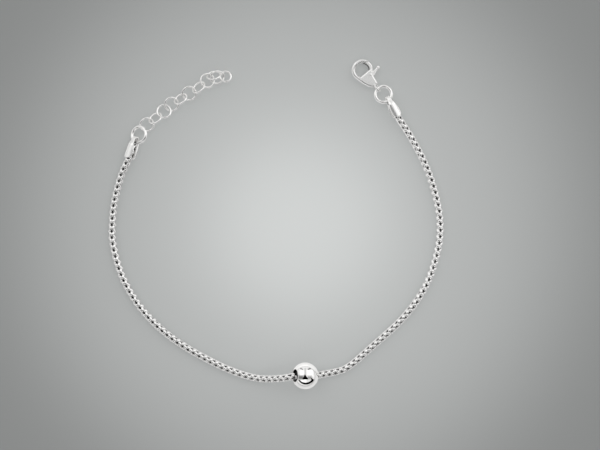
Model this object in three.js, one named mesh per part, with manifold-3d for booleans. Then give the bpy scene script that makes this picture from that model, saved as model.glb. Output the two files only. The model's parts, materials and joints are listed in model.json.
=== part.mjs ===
// A silver bracelet laid open and flat: a round woven chain through one hollow polished ball, a folded
// cap on each end of the chain, a lobster clasp on one side and an extender of linked rings on the other.
// Millimetres, +Z up. The bracelet lies on z = 0, and the origin is under the middle of its outline.

import * as THREE from 'three';
import { mergeVertices } from 'three/addons/utils/BufferGeometryUtils.js';
import Module from 'manifold-3d';

const wasm = await Module();
wasm.setup();

const rad = THREE.MathUtils.degToRad;

// ---------------------------------------------------------------- driving dimensions

const GAP = 0.05; // running clearance between neighbouring pieces

const SILVER = 0xdcdddd;

const CHAIN = { diameter: 1.7, sides: 8, steps: 78 };

// The bore leans, so that the hole on the -X side looks up and the other one looks down.
const BALL = {
  diameter: 6,
  hole: 2.75,
  wall: 0.4,
  x: 6.6,
  y: -34.2,
  azimuth: -3,
  lean: 27,
  outerSteps: 14,
  innerSteps: 8,
  segments: 30,
};

// A ring's pitch radius runs to the middle of its wire.
const JUMP_RING = { pitchRadius: 1.8, wire: 0.66, sides: 8, segments: 28 };
const EXTENDER_RING = { pitchRadius: 1.53, wire: 0.38, sides: 6, segments: 24 };
const END_RING = { pitchRadius: 1.2, wire: 0.38, sides: 6, segments: 24 };

// A strip folded round the jump ring. Its two rounded leaves curl round the chain's end, one over it
// and one under it.
const CAP = {
  length: 5.25,
  thickness: 0.28,
  foldRadius: 0.8,
  foldHalfWidth: 0.45,
  neckEnd: 0.9, // where the strip starts to widen
  flareStart: 2.0,
  flareStartHalfWidth: 0.62,
  flareEnd: 3.0,
  leafHalfWidth: 1.1,
  blankWidth: 2.4, // the strip before it is curled and cut to its outline
  blankHeight: 3,
  leafGap: 1.86,
  shoulderEnd: 2.3, // where the leaves have spread and curled fully
  curlSteps: 8, // how finely the strip's width is divided
  finest: 0.004, // shorter edges are closed up
  chainStart: 2.5, // where the chain's end lies between the leaves
};

// The outside of each fold, the way its leaves point, and how far the cap has rolled over on its side.
const CAP_PLACES = {
  end_cap_left: { x: -31.45, y: 19.67, z: 1.41, azimuth: -108.7, roll: 42 },
  end_cap_right: { x: 24.99, y: 28.73, z: 1.41, azimuth: -61.5, roll: -10 },
};

// Local frame of the clasp: its hoop is centred on the origin and its tail points along -Y.
const CLASP = {
  x: 19.5,
  y: 34.7,
  azimuth: 40,
  thickness: 1.6,
  edgeRound: 0.24,
  hoopRadius: 2.42,
  hoopStart: -22, // the angles between which the outline follows the hoop
  hoopEnd: 200,
  holeRadius: 1.6,
  holeFloor: -0.9,
  tailEnd: -4.55,
  tailHalfWidth: 0.72,
  rightFlank: [1.05, -3.4, 0.9, -2.6, 1.35, -2.0],
  rightShoulder: [1.65, -1.6],
  leftFlank: [-2.02, -2.3, -1.6, -3.7],
  slotMouth: [[-0.35, -2.1], [0.6, -2.85], [4, -2.85], [4, -0.5], [-0.35, -0.5]],
  gateSide: [[0.4, -0.9], [4, -0.9], [4, 3], [0.4, 3]], // the half of the hoop with the gate in it
};
const CLASP_EYE = { y: -5.25, z: 1.05, pitchRadius: 0.82, wire: 0.46, roll: 72, sides: 8, segments: 20 };
const RIVET = { x: 0.75, y: -2.0, radius: 0.28, head: 0.1, sides: 16 };
const LEVER = {
  thickness: 0.7,
  reach: 3.05, // from the rivet to the tip of the gate, where it meets the hoop's nose
  hubRadius: 0.8,
  gateInner: 1.62,
  gateOuter: 2.36,
  gateStart: -48,
  gateEnd: 60,
  cheek: [[0.05, -2.1], [0.3, -1.1], [1.15, -1.0], [1.75, -1.0], [1.5, -2.1]], // joins gate and hub
  thumb: [[0.9, -2.6], [1.6, -2.62], [3.1, -2.02], [3.2, -1.62], [1.5, -1.72]],
  thumbTip: { x: 3.14, y: -1.8, radius: 0.26 },
};

// A cutter this high runs right through the clasp.
const CUTTER = { bottom: -0.5, height: 3 };

// How finely a curved outline is divided: an arc gets twice this many chords.
const ROUND = { fine: 48, plain: 16, cap: 12, small: 8 };

const RING_PLACES = [
  { name: 'jump_ring_right', size: JUMP_RING, x: 24.24, y: 29.23, z: 1.21, tilt: -6, about: 30 },
  { name: 'jump_ring_left', size: JUMP_RING, x: -30.88, y: 20.1, z: 1.64, tilt: -30.5, about: 74.7 },
  { name: 'extender_ring_01', size: EXTENDER_RING, x: -29.11, y: 22.4, z: 0.77, tilt: 22, about: 24 },
  { name: 'extender_ring_02', size: EXTENDER_RING, x: -27.2, y: 23.8, z: 1.4, tilt: -50, about: 34 },
  { name: 'extender_ring_03', size: EXTENDER_RING, x: -25.25, y: 25.4, z: 1.0, tilt: -18, about: 1 },
  { name: 'extender_ring_04', size: EXTENDER_RING, x: -23.55, y: 27.0, z: 0.85, tilt: 17, about: 32 },
  { name: 'extender_ring_05', size: EXTENDER_RING, x: -21.5, y: 28.15, z: 1.45, tilt: -52, about: 34 },
  { name: 'extender_ring_06', size: EXTENDER_RING, x: -19.55, y: 29.45, z: 0.95, tilt: 15, about: 26 },
  { name: 'extender_ring_07', size: EXTENDER_RING, x: -17.4, y: 30.75, z: 1.45, tilt: -52, about: 42 },
  { name: 'extender_ring_08', size: EXTENDER_RING, x: -15.45, y: 32.3, z: 1.3, tilt: 10, about: 89 },
  { name: 'extender_ring_09', size: EXTENDER_RING, x: -14.05, y: 33.45, z: 1.45, tilt: -53, about: 11 },
  { name: 'extender_ring_10', size: EXTENDER_RING, x: -13.25, y: 33.05, z: 1.05, tilt: 32, about: 23 },
  { name: 'extender_ring_11', size: END_RING, x: -11.35, y: 33.25, z: 0.6, tilt: -16, about: 4 },
];

// The chain's centre line, from inside the left cap, round and through the ball, to inside the right cap.
const LYING = CHAIN.diameter / 2 + 0.01;
const CHAIN_ROUTE = [
  alongCap('end_cap_left', CAP.chainStart),
  alongCap('end_cap_left', CAP.length),
  [-34.3, 12.4, 1.05],
  [-35.6, 8.6, LYING],
  [-36.5, 4.6, LYING],
  [-36.9, 0.4, LYING],
  [-36.9, -3.6, LYING],
  [-36.1, -7.6, LYING],
  [-34.8, -11.6, LYING],
  [-32.9, -15.4, LYING],
  [-30.4, -19.1, LYING],
  [-27.4, -22.4, LYING],
  [-23.9, -25.4, LYING],
  [-20.1, -28.0, LYING],
  [-16.0, -30.3, LYING],
  [-11.8, -32.4, LYING],
  [-7.6, -34.0, LYING],
  [-3.8, -34.9, 1.1],
  [-0.6, -34.9, 2.25],
  [1.6, -34.7, 3.4],
  [3.5, -34.32, 3.97],
  [6.6, -34.2, 2.9],
  [9.2, -34.16, 1.52],
  [11.4, -33.8, 0.92],
  [15.4, -32.8, LYING],
  [18.2, -30.8, LYING],
  [20.8, -28.5, LYING],
  [24.0, -25.7, LYING],
  [27.3, -22.7, LYING],
  [30.1, -19.6, LYING],
  [32.5, -16.2, LYING],
  [34.6, -12.2, LYING],
  [36.0, -8.0, LYING],
  [36.9, -3.6, LYING],
  [37.0, 0.6, LYING],
  [36.4, 4.8, LYING],
  [35.2, 9.3, LYING],
  [33.5, 13.8, LYING],
  [31.3, 18.1, LYING],
  [29.3, 21.4, 0.98],
  alongCap('end_cap_right', CAP.length),
  alongCap('end_cap_right', CAP.chainStart),
];

// ---------------------------------------------------------------- helpers

// A point on a cap's middle line, measured from the outside of its fold.
function alongCap(name, distance) {
  const { x, y, z, azimuth } = CAP_PLACES[name];
  return [x + distance * Math.cos(rad(azimuth)), y + distance * Math.sin(rad(azimuth)), z];
}

function silver(roughness) {
  return new THREE.MeshStandardMaterial({ color: SILVER, roughness, metalness: 1 });
}

function piece(name, geometry, roughness = 0.12) {
  const mesh = new THREE.Mesh(geometry, silver(roughness));
  mesh.name = name;
  return mesh;
}

function toSolid(geometry) {
  const bare = geometry.index ? geometry.clone() : geometry;
  bare.deleteAttribute('normal');
  bare.deleteAttribute('uv');
  const merged = mergeVertices(bare, 1e-4);
  const vertProperties = new Float32Array(merged.attributes.position.array);
  const triVerts = new Uint32Array(merged.index.array);
  return new wasm.Manifold(new wasm.Mesh({ numProp: 3, vertProperties, triVerts }));
}

function toGeometry(solid) {
  const mesh = solid.getMesh();
  const geometry = new THREE.BufferGeometry();
  geometry.setAttribute('position', new THREE.BufferAttribute(mesh.vertProperties, 3));
  geometry.setIndex(new THREE.BufferAttribute(mesh.triVerts, 1));
  return geometry;
}

// A plate with the given outline, its lower face at the height bottom.
function plate(outline, bottom, thickness, curveSegments = ROUND.plain) {
  const options = { depth: thickness, bevelEnabled: false, curveSegments };
  return new THREE.ExtrudeGeometry(outline, options).translate(0, 0, bottom);
}

// A plate that cuts right through the clasp.
function cutter(outline, curveSegments = ROUND.plain) {
  return toSolid(plate(outline, CUTTER.bottom, CUTTER.height, curveSegments));
}

function disc(x, y, radius) {
  return new THREE.Shape().absarc(x, y, radius, 0, 2 * Math.PI, false);
}

function polygon(points) {
  return new THREE.Shape(points.map(([x, y]) => new THREE.Vector2(x, y)));
}

// ---------------------------------------------------------------- chain

function chainGeometry() {
  const curve = new THREE.CatmullRomCurve3(CHAIN_ROUTE.map((point) => new THREE.Vector3(...point)));
  const corners = Array.from({ length: CHAIN.sides }, (_, i) => {
    const angle = ((i + 0.5) / CHAIN.sides) * 2 * Math.PI;
    return [(CHAIN.diameter / 2) * Math.cos(angle), (CHAIN.diameter / 2) * Math.sin(angle)];
  });
  return new THREE.ExtrudeGeometry(polygon(corners), {
    steps: CHAIN.steps,
    extrudePath: curve,
    bevelEnabled: false,
  });
}

// ---------------------------------------------------------------- ball

// The wall's section: the outer arc from hole to hole, then the inner arc back, closed on itself.
function ballGeometry() {
  const outer = BALL.diameter / 2;
  const inner = outer - BALL.wall;
  const arc = (radius, steps, direction) => {
    const edge = Math.asin(BALL.hole / 2 / radius);
    return Array.from({ length: steps + 1 }, (_, i) => {
      const polar = edge + (Math.PI - 2 * edge) * (direction > 0 ? 1 - i / steps : i / steps);
      return new THREE.Vector2(radius * Math.sin(polar), radius * Math.cos(polar));
    });
  };
  const profile = [...arc(outer, BALL.outerSteps, 1), ...arc(inner, BALL.innerSteps, -1)];
  profile.push(profile[0].clone());
  return new THREE.LatheGeometry(profile, BALL.segments);
}

function ballMesh() {
  const mesh = piece('ball', ballGeometry(), 0.06);
  const flat = Math.cos(rad(BALL.lean));
  const bore = new THREE.Vector3(
    -flat * Math.cos(rad(BALL.azimuth)),
    -flat * Math.sin(rad(BALL.azimuth)),
    Math.sin(rad(BALL.lean)),
  );
  mesh.quaternion.setFromUnitVectors(new THREE.Vector3(0, 1, 0), bore);
  mesh.position.set(BALL.x, BALL.y, BALL.diameter / 2);
  return mesh;
}

// ---------------------------------------------------------------- rings

function ringMesh({ name, size, x, y, z, tilt, about }) {
  const geometry = new THREE.TorusGeometry(size.pitchRadius, size.wire / 2, size.sides, size.segments);
  const mesh = piece(name, geometry);
  const axis = new THREE.Vector3(Math.cos(rad(about)), Math.sin(rad(about)), 0);
  mesh.quaternion.setFromAxisAngle(axis, rad(tilt));
  mesh.position.set(x, y, z);
  return mesh;
}

// ---------------------------------------------------------------- end caps

// The strip seen from the side: X runs along the cap, Y is 0 midway between the leaves.
function capSideOutline() {
  const { length, thickness, foldRadius, leafGap, shoulderEnd } = CAP;
  const steps = 6;
  const spread = leafGap / 2 + thickness - foldRadius;
  const leaf = (side, start) =>
    Array.from({ length: steps + 1 }, (_, i) => {
      const share = i / steps;
      const height = start + spread * (0.5 - 0.5 * Math.cos(Math.PI * share));
      return [foldRadius + (shoulderEnd - foldRadius) * share, side * height];
    });
  const innerRadius = foldRadius - thickness;
  const outline = new THREE.Shape();
  outline.moveTo(length, -leafGap / 2);
  leaf(-1, innerRadius).reverse().forEach((point) => outline.lineTo(...point));
  outline.absarc(foldRadius, 0, innerRadius, -Math.PI / 2, Math.PI / 2, true);
  leaf(1, innerRadius).forEach((point) => outline.lineTo(...point));
  outline.lineTo(length, leafGap / 2);
  outline.lineTo(length, leafGap / 2 + thickness);
  leaf(1, foldRadius).reverse().forEach((point) => outline.lineTo(...point));
  outline.absarc(foldRadius, 0, foldRadius, Math.PI / 2, (3 * Math.PI) / 2, false);
  leaf(-1, foldRadius).forEach((point) => outline.lineTo(...point));
  outline.lineTo(length, -leafGap / 2 - thickness);
  return outline;
}

// The strip seen from above: narrow at the fold, widening to a rounded end.
function capTongueOutline() {
  const { length, thickness, foldHalfWidth, neckEnd, leafHalfWidth } = CAP;
  const roundStart = length - leafHalfWidth;
  const flareStart = [CAP.flareStart, CAP.flareStartHalfWidth];
  const flareEnd = [CAP.flareEnd, leafHalfWidth];
  const mirrored = ([x, y]) => [x, -y];
  const outline = new THREE.Shape();
  outline.moveTo(-thickness, -foldHalfWidth);
  outline.lineTo(neckEnd, -foldHalfWidth);
  outline.bezierCurveTo(...mirrored(flareStart), ...mirrored(flareEnd), roundStart, -leafHalfWidth);
  outline.absarc(roundStart, 0, leafHalfWidth, -Math.PI / 2, Math.PI / 2, false);
  outline.bezierCurveTo(...flareEnd, ...flareStart, neckEnd, foldHalfWidth);
  outline.lineTo(-thickness, foldHalfWidth);
  return outline;
}

function capGeometry() {
  const { blankWidth, blankHeight, curlSteps } = CAP;
  const options = {
    depth: blankWidth,
    steps: curlSteps,
    bevelEnabled: false,
    curveSegments: ROUND.cap,
  };
  const strip = new THREE.ExtrudeGeometry(capSideOutline(), options)
    .translate(0, 0, -blankWidth / 2)
    .rotateX(Math.PI / 2);
  const tongue = plate(capTongueOutline(), -blankHeight / 2, blankHeight, ROUND.small);
  return toGeometry(toSolid(curled(strip)).intersect(toSolid(tongue)).simplify(CAP.finest));
}

// Bends the leaves' sides towards each other, more and more from the fold to the shoulder's end.
function curled(strip) {
  const { foldRadius, shoulderEnd, leafGap, thickness } = CAP;
  const leafMiddle = (leafGap + thickness) / 2;
  const foldMiddle = foldRadius - thickness / 2;
  const position = strip.attributes.position;
  for (let i = 0; i < position.count; i += 1) {
    const [x, y, z] = [position.getX(i), position.getY(i), position.getZ(i)];
    const share = Math.min(Math.max((x - foldRadius) / (shoulderEnd - foldRadius), 0), 1);
    const bend = 0.5 - 0.5 * Math.cos(Math.PI * share);
    if (bend === 0) continue;
    const radius = leafMiddle / bend;
    const middle = foldMiddle + (leafMiddle - foldMiddle) * bend;
    const reach = radius + Math.abs(z) - middle;
    const height = reach * Math.cos(y / radius) + middle - radius;
    position.setXYZ(i, x, reach * Math.sin(y / radius), Math.sign(z) * height);
  }
  return strip;
}

function capMesh(name) {
  const { azimuth, roll } = CAP_PLACES[name];
  const mesh = piece(name, capGeometry(), 0.1);
  mesh.position.set(...alongCap(name, 0));
  mesh.rotation.set(rad(roll), 0, rad(azimuth), 'ZYX');
  return mesh;
}

// ---------------------------------------------------------------- clasp

function claspOutline() {
  const { hoopRadius, tailEnd, tailHalfWidth } = CLASP;
  const start = rad(CLASP.hoopStart);
  const hoopPoint = [hoopRadius * Math.cos(start), hoopRadius * Math.sin(start)];
  const outline = new THREE.Shape();
  outline.moveTo(tailHalfWidth, tailEnd);
  outline.bezierCurveTo(...CLASP.rightFlank);
  outline.quadraticCurveTo(...CLASP.rightShoulder, ...hoopPoint);
  outline.absarc(0, 0, hoopRadius, start, rad(CLASP.hoopEnd), false);
  outline.bezierCurveTo(...CLASP.leftFlank, -tailHalfWidth, tailEnd);
  return outline;
}

// The hoop's hole: round, with a straight floor on the side of the tail.
function claspHole() {
  const { holeRadius, holeFloor } = CLASP;
  const corner = Math.asin(holeFloor / holeRadius);
  return new THREE.Path().absarc(0, 0, holeRadius, corner, Math.PI - corner, false);
}

// What the gate closes: the part of the hoop that the lever's tip can reach, above the hole's floor.
function gateOpening() {
  const sweep = disc(RIVET.x, RIVET.y, LEVER.reach + GAP);
  return cutter(polygon(CLASP.gateSide)).intersect(cutter(sweep, ROUND.fine));
}

// The slot between the body's two cheeks, wide enough for the lever to swing.
function leverSlot() {
  const height = LEVER.thickness + 2 * GAP;
  const bottom = (CLASP.thickness - height) / 2;
  const hub = disc(RIVET.x, RIVET.y, LEVER.hubRadius + 2 * GAP);
  const mouth = polygon(CLASP.slotMouth);
  return toSolid(plate(hub, bottom, height)).add(toSolid(plate(mouth, bottom, height)));
}

// The rivet's hole, in the body and in the lever.
function rivetHole() {
  return cutter(disc(RIVET.x, RIVET.y, RIVET.radius + GAP), ROUND.small);
}

function claspEye() {
  const { y, z, pitchRadius, wire, roll, sides, segments } = CLASP_EYE;
  const eye = new THREE.TorusGeometry(pitchRadius, wire / 2, sides, segments);
  return toSolid(eye.rotateY(rad(roll)).translate(0, y, z));
}

function claspBodyGeometry() {
  const outline = claspOutline();
  outline.holes.push(claspHole());
  const body = new THREE.ExtrudeGeometry(outline, {
    depth: CLASP.thickness - 2 * CLASP.edgeRound,
    bevelEnabled: true,
    bevelThickness: CLASP.edgeRound,
    bevelSize: CLASP.edgeRound,
    bevelOffset: -CLASP.edgeRound,
    bevelSegments: 2,
    curveSegments: ROUND.cap,
  }).translate(0, 0, CLASP.edgeRound);
  const solid = toSolid(body)
    .add(claspEye())
    .subtract(gateOpening())
    .subtract(leverSlot())
    .subtract(rivetHole());
  return toGeometry(solid);
}

function gateOutline() {
  const start = rad(LEVER.gateStart);
  const end = rad(LEVER.gateEnd);
  const gate = new THREE.Shape();
  gate.absarc(0, 0, LEVER.gateOuter, start, end, false);
  gate.absarc(0, 0, LEVER.gateInner, end, start, true);
  return gate;
}

// Gate arm, hub and thumb piece in one plate.
function leverGeometry() {
  const { thickness, reach, hubRadius, cheek, thumb, thumbTip } = LEVER;
  const bottom = (CLASP.thickness - thickness) / 2;
  const layer = (outline) => toSolid(plate(outline, bottom, thickness));
  const solid = layer(gateOutline())
    .intersect(cutter(disc(RIVET.x, RIVET.y, reach), ROUND.fine))
    .add(layer(disc(RIVET.x, RIVET.y, hubRadius)))
    .add(layer(polygon(cheek)))
    .add(layer(polygon(thumb)))
    .add(layer(disc(thumbTip.x, thumbTip.y, thumbTip.radius)))
    .subtract(rivetHole());
  return toGeometry(solid);
}

function rivetGeometry() {
  const length = CLASP.thickness + RIVET.head;
  const shank = new THREE.CylinderGeometry(RIVET.radius, RIVET.radius, length, RIVET.sides);
  return shank.rotateX(Math.PI / 2).translate(RIVET.x, RIVET.y, length / 2);
}

function clasp() {
  const group = new THREE.Group();
  group.add(piece('clasp_body', claspBodyGeometry()));
  group.add(piece('clasp_lever', leverGeometry()));
  group.add(piece('clasp_rivet', rivetGeometry()));
  group.position.set(CLASP.x, CLASP.y, 0);
  group.rotation.z = rad(CLASP.azimuth);
  return group;
}

// ---------------------------------------------------------------- bracelet

const bracelet = new THREE.Group();
bracelet.add(piece('chain', chainGeometry(), 0.2));
bracelet.add(ballMesh());
for (const name of Object.keys(CAP_PLACES)) {
  bracelet.add(capMesh(name));
}
for (const place of RING_PLACES) {
  bracelet.add(ringMesh(place));
}
bracelet.add(clasp());

export default bracelet;
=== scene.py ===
"""Looks of a silver chain bracelet with one polished ball, laid open and flat.

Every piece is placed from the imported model's own solids. Sizes inside the classes are in millimetres,
and meshes are made in metres.
"""

import json
import logging
import math
from collections.abc import Callable, Iterable, Mapping, Sequence
from dataclasses import dataclass, field
from enum import Enum
from typing import Any

import bpy
import numpy as np
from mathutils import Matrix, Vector

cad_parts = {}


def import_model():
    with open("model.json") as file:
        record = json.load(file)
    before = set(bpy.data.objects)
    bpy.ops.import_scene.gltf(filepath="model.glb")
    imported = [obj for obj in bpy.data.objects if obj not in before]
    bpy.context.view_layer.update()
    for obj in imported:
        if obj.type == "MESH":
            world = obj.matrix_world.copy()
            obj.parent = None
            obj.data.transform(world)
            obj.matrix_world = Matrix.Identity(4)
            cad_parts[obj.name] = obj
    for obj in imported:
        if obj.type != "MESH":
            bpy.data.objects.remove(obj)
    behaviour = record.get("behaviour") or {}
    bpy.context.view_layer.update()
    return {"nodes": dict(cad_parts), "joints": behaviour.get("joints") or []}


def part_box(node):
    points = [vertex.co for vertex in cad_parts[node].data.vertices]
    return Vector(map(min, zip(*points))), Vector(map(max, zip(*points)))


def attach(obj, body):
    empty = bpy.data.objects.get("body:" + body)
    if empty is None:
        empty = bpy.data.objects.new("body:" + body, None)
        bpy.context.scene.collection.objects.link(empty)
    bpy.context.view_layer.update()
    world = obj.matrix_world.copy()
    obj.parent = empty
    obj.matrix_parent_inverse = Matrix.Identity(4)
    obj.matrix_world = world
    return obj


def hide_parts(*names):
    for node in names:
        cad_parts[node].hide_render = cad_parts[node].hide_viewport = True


MM = 0.001
TAU = 2 * math.pi
ROOT_BODY = "bracelet"
LEVER_BODY = "lever"

log = logging.getLogger("bracelet")

UP = np.array([0.0, 0.0, 1.0])
# Attribute that marks where shade is painted near black: the hollows between the chain's links and the gate's
# inner face.
PAINTED_SHADE = "painted_shade"

Points = np.ndarray
Field = Callable[[Points, Points, Points], Points]
Spot = tuple[float, float]
Triple = tuple[float, float, float]


class Slot(Enum):
    """Material slots of the record, named with each piece that is settled."""

    POLISHED = "polished_silver"
    CHAIN = "silver_chain"


# ---------------------------------------------------------------------------- node trees


class Value:
    """One number in a node tree, with arithmetic that adds the Math nodes it needs."""

    def __init__(self, sheet: "Sheet", socket: bpy.types.NodeSocket) -> None:
        """Wraps an output socket of the sheet's tree."""
        self.sheet = sheet
        self.socket = socket

    def math(self, operation: str, *others: "Value | float") -> "Value":
        """Adds one Math node, with this value first."""
        return self.sheet.math(operation, self, *others)

    def __add__(self, other: "Value | float") -> "Value":
        """Sum."""
        return self.math("ADD", other)

    __radd__ = __add__

    def __mul__(self, other: "Value | float") -> "Value":
        """Product."""
        return self.math("MULTIPLY", other)

    __rmul__ = __mul__

    def __sub__(self, other: "Value | float") -> "Value":
        """Difference."""
        return self.math("SUBTRACT", other)

    def __rsub__(self, other: "Value | float") -> "Value":
        """Difference, with the number first."""
        return self.sheet.math("SUBTRACT", other, self)

    def __truediv__(self, other: "Value | float") -> "Value":
        """Quotient."""
        return self.math("DIVIDE", other)

    def __abs__(self) -> "Value":
        """Size without sign."""
        return self.math("ABSOLUTE")

    def least(self, other: "Value | float") -> "Value":
        """The smaller of the two."""
        return self.math("MINIMUM", other)

    def most(self, other: "Value | float") -> "Value":
        """The larger of the two."""
        return self.math("MAXIMUM", other)

    def above(self, edge: float, softness: float) -> "Value":
        """A soft step: 0 well below the edge, half way up on it and 1 well above it."""
        return self.sheet.math("ADD", (self - edge) / softness, 0.5, clamp=True)


class Sheet:
    """Builds one node tree, whether of a material, the world or a geometry modifier."""

    def __init__(self, tree: bpy.types.NodeTree) -> None:
        """Starts on an empty tree."""
        self.tree = tree
        self.tree.nodes.clear()

    def node(
        self,
        kind: str,
        settings: Mapping[str, Any] | None = None,
        inputs: Mapping[str | int, Any] | None = None,
    ) -> bpy.types.Node:
        """Adds a node.

        Args:
            kind: The node's type.
            settings: Its own properties, set before any socket.
            inputs: Values, sockets or Values for its inputs, by name or number.

        Returns:
            The node.
        """
        made = self.tree.nodes.new(kind)
        for key, value in (settings or {}).items():
            setattr(made, key, value)
        for key, value in (inputs or {}).items():
            if isinstance(value, (Value, bpy.types.NodeSocket)):
                self.link(value, made.inputs[key])
            else:
                made.inputs[key].default_value = value
        return made

    def math(
        self, operation: str, first: Value | float, *others: Value | float, clamp: bool = False
    ) -> Value:
        """Adds one Math node.

        Args:
            operation: The node's operation.
            first: The first operand.
            others: The other operands, if the operation takes them.
            clamp: Keeps the result between 0 and 1.

        Returns:
            The result.
        """
        settings = {"operation": operation, "use_clamp": clamp}
        made = self.node("ShaderNodeMath", settings, dict(enumerate((first, *others))))
        return Value(self, made.outputs[0])

    def noise(self, coordinates: bpy.types.NodeSocket, scale: float, detail: float = 2.0) -> Value:
        """A smooth random value from 0 to 1.

        Args:
            coordinates: Where it is read.
            scale: Its fineness, per metre.
            detail: How many finer layers it has.

        Returns:
            The value.
        """
        inputs = {"Vector": coordinates, "Scale": scale, "Detail": detail}
        return Value(self, self.node("ShaderNodeTexNoise", None, inputs).outputs["Fac"])

    def mix(
        self, share: Value | float, first: Sequence[float] | Any, second: Sequence[float] | Any
    ) -> bpy.types.NodeSocket:
        """Mixes two colours.

        Args:
            share: How much of the second.
            first: The colour at 0.
            second: The colour at 1.

        Returns:
            The mixed colour.
        """
        ends = [c if isinstance(c, bpy.types.NodeSocket) else (*c, 1.0) for c in (first, second)]
        made = self.node("ShaderNodeMix", {"data_type": "RGBA"}, {0: share, 6: ends[0], 7: ends[1]})
        return made.outputs[2]

    def coordinates(self) -> bpy.types.NodeSocket:
        """The object's own coordinates."""
        return self.node("ShaderNodeTexCoord").outputs["Object"]

    def end(self, kind: str, shader: bpy.types.Node) -> None:
        """Ends a shader tree with its output node."""
        self.node(kind, None, {"Surface": shader.outputs[0]})

    def dress(self, geometry: bpy.types.NodeSocket, material: bpy.types.Material) -> None:
        """Ends a geometry tree: makes instances real, smooths them and gives them their finish.

        Args:
            geometry: What has been made.
            material: Its finish.
        """
        real = self.node("GeometryNodeRealizeInstances", None, {"Geometry": geometry})
        smooth = self.node("GeometryNodeSetShadeSmooth", None, {"Geometry": real.outputs["Geometry"]})
        dressed = self.node("GeometryNodeSetMaterial", None, {
            "Geometry": smooth.outputs["Geometry"], "Material": material})
        self.node("NodeGroupOutput", None, {0: dressed.outputs["Geometry"]})

    def link(self, source: Value | bpy.types.NodeSocket, target: bpy.types.NodeSocket) -> None:
        """Joins an output to an input."""
        self.tree.links.new(source.socket if isinstance(source, Value) else source, target)


# ---------------------------------------------------------------------------- finishes


@dataclass(frozen=True)
class Finish:
    """A finish made of nodes alone."""

    name: str

    def make(self) -> bpy.types.Material:
        """Builds the material.

        Returns:
            The material, under the finish's name.
        """
        material = bpy.data.materials.new(self.name)
        material.use_nodes = True
        sheet = Sheet(material.node_tree)
        sheet.end("ShaderNodeOutputMaterial", self.shader(sheet))
        return material

    def shader(self, sheet: Sheet) -> bpy.types.Node:
        """Adds the finish's nodes and gives the shader that they lead to."""
        raise NotImplementedError


@dataclass(frozen=True)
class SilverFinish(Finish):
    """Polished sterling silver, with fine wear, and with near-black painted shade in the hollows that an
    attribute marks.
    """

    silver: Triple = (0.955, 0.950, 0.938)
    handled: Triple = (0.90, 0.895, 0.882)
    # Painted shade: the near-black colour, and the extra roughness, given where the attribute marks a hollow.
    shade_colour: Triple = (0.030, 0.029, 0.028)
    roughness: float = 0.05
    roughness_spread: float = 0.05
    hollow_roughness: float = 0.3
    handling_scale: float = 420.0
    scratch_scale: float = 9000.0
    scratch_stretch: Triple = (1.0, 0.25, 0.6)
    scratch_strength: float = 0.05
    scratch_depth: float = 2e-6
    paints_shade: bool = False

    def shader(self, sheet: Sheet) -> bpy.types.Node:
        """Adds a metal shader, which paints shade into the hollows that its attribute marks, if the finish
        has one.

        Args:
            sheet: The tree's builder.

        Returns:
            The shader.
        """
        coordinates = sheet.coordinates()
        handling = sheet.noise(coordinates, self.handling_scale, 3.0)
        stretch = {"Vector": coordinates, "Scale": self.scratch_stretch}
        brushed = sheet.node("ShaderNodeMapping", None, stretch)
        scratches = sheet.noise(brushed.outputs[0], self.scratch_scale)
        color = sheet.mix(handling.above(0.5, 0.5), self.silver, self.handled)
        roughness = self.roughness + self.roughness_spread * (handling * scratches)
        # Painted shade: the colour darkens towards near black where the attribute marks a hollow.
        if self.paints_shade:
            attribute = sheet.node("ShaderNodeAttribute", {"attribute_name": PAINTED_SHADE})
            painted_shade = Value(sheet, attribute.outputs["Fac"])
            color = sheet.mix(painted_shade, color, self.shade_colour)
            roughness = roughness + self.hollow_roughness * painted_shade
        bump = sheet.node("ShaderNodeBump", None, {
            "Strength": self.scratch_strength, "Distance": self.scratch_depth, "Height": scratches})
        return sheet.node("ShaderNodeBsdfPrincipled", None, {
            "Base Color": color, "Metallic": 1.0, "Roughness": roughness, "Normal": bump.outputs[0]})


@dataclass(frozen=True)
class ClothFinish(Finish):
    """Black cloth, a little uneven."""

    name: str = "black_cloth"
    dark: Triple = (0.002, 0.002, 0.002)
    worn: Triple = (0.006, 0.006, 0.006)
    scale: float = 60.0

    def shader(self, sheet: Sheet) -> bpy.types.Node:
        """Adds a matt shader between the two blacks."""
        color = sheet.mix(sheet.noise(sheet.coordinates(), self.scale), self.dark, self.worn)
        return sheet.node("ShaderNodeBsdfDiffuse", None, {"Color": color})


@dataclass(frozen=True)
class FloorFinish(Finish):
    """A plain pale matt floor. Unlike a real one, it throws back more light than it shows the camera."""

    name: str = "pale_floor"
    shown: Triple = (0.325, 0.333, 0.330)
    thrown: Triple = (0.6, 0.6, 0.6)

    def shader(self, sheet: Sheet) -> bpy.types.Node:
        """Adds a matt shader with one shade for the camera and another for everything else."""
        seen = Value(sheet, sheet.node("ShaderNodeLightPath").outputs["Is Camera Ray"])
        return sheet.node("ShaderNodeBsdfDiffuse", None, {"Color": sheet.mix(seen, self.thrown, self.shown)})


# ---------------------------------------------------------------------------- meshes


def add_object(name: str, data: bpy.types.ID) -> bpy.types.Object:
    """Makes an object from its data and links it to the scene."""
    made = bpy.data.objects.new(name, data)
    bpy.context.scene.collection.objects.link(made)
    return made


def store(mesh: bpy.types.Mesh, name: str, values: Points) -> None:
    """Stores one number on each vertex of a mesh."""
    mesh.attributes.new(name, "FLOAT", "POINT").data.foreach_set("value", values.astype(np.float32))


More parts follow.
